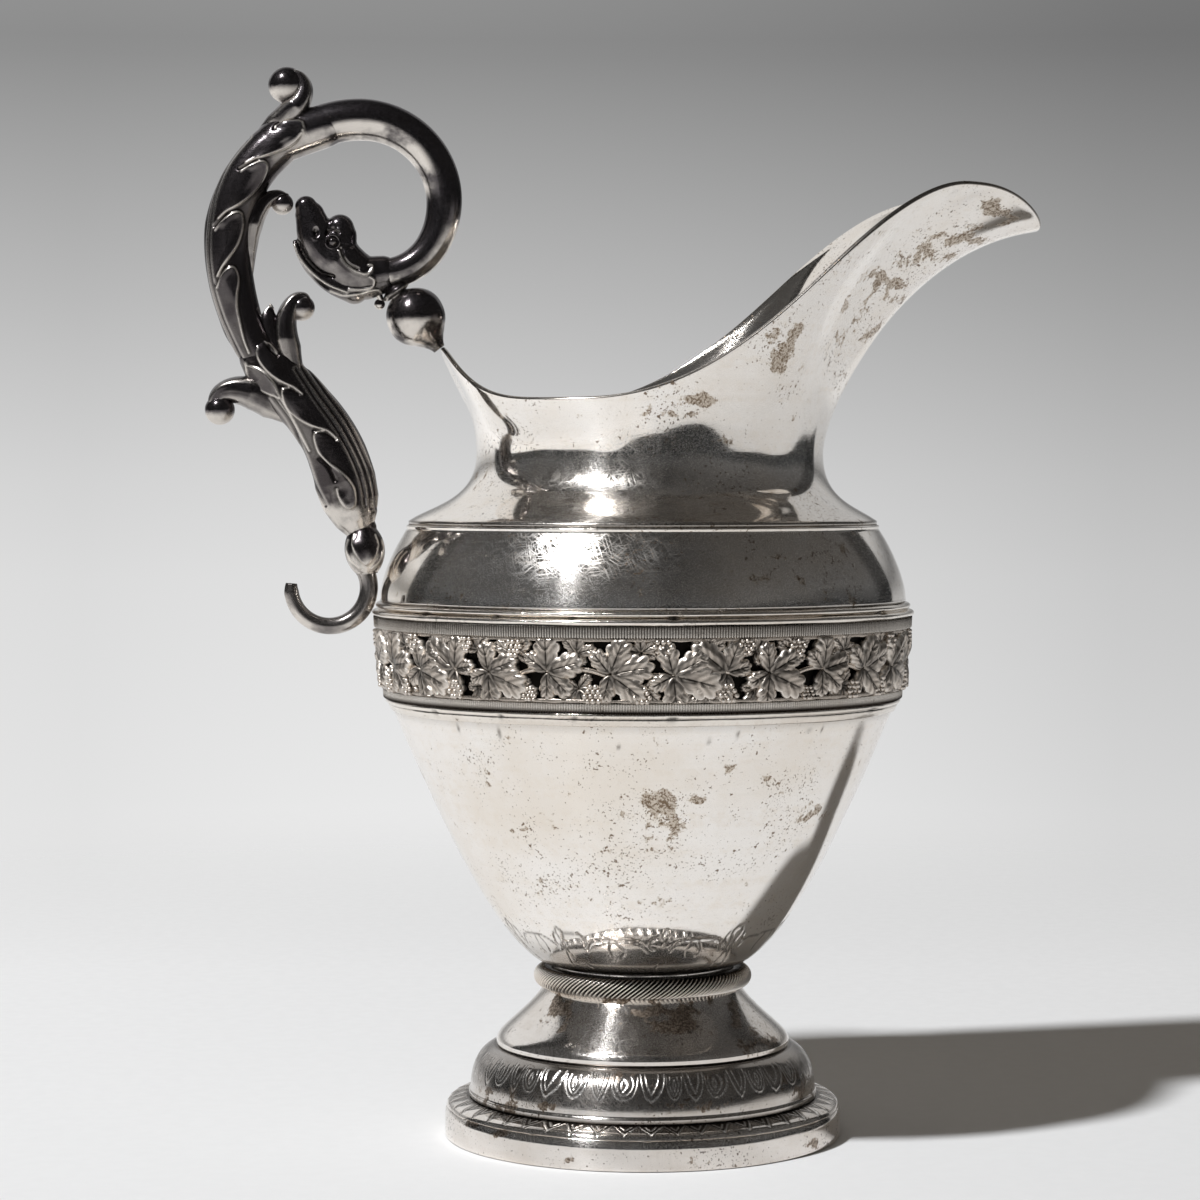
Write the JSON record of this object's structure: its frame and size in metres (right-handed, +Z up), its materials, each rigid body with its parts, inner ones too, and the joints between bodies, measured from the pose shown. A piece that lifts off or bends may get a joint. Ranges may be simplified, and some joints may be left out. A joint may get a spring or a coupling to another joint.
{
  "type": "milk jug",
  "caption": "Footed silver milk jug with a tapered bowl, pierced vine band, high spout and a cast scroll handle that ends in a beast's head.",
  "frame": {"origin": "on the table under the middle of the whole jug, handle and spout counted", "axes": "+Z up, +X towards the spout, the handle towards -X, alike on both sides of the XZ plane"},
  "size_m": [0.1546, 0.1, 0.1962],
  "materials": {
    "body_silver": "polished silver with tarnish spots",
    "foot_silver": "polished silver with engraved leaf bands",
    "trim_silver": "silver wire, rubbed bright on its ridges",
    "vine_silver": "cast silver, dark in its recesses",
    "handle_silver": "cast silver, darkened with age"
  },
  "bodies": {
    "root": {"bowl": "body_silver", "shoulder": "body_silver", "neck_and_spout": "body_silver", "foot_plinth": "foot_silver", "foot_flange": "foot_silver", "foot_dome": "foot_silver", "foot_trumpet": "foot_silver", "rope_collar": "trim_silver", "lower_moulding": "trim_silver", "lower_milled_strip": "trim_silver", "upper_milled_strip": "trim_silver", "upper_moulding": "trim_silver", "vine_frieze": "vine_silver", "rim_ball": "handle_silver", "handle_loop": "handle_silver", "beast_head": "handle_silver", "chin_bead": "handle_silver", "handle_stem": "handle_silver", "handle_sheath": "handle_silver", "handle_knot": "handle_silver", "handle_tail": "handle_silver", "top_curl": "handle_silver", "inner_curl": "handle_silver", "middle_curl": "handle_silver", "outer_curl": "handle_silver"}
  },
  "joints": []
}
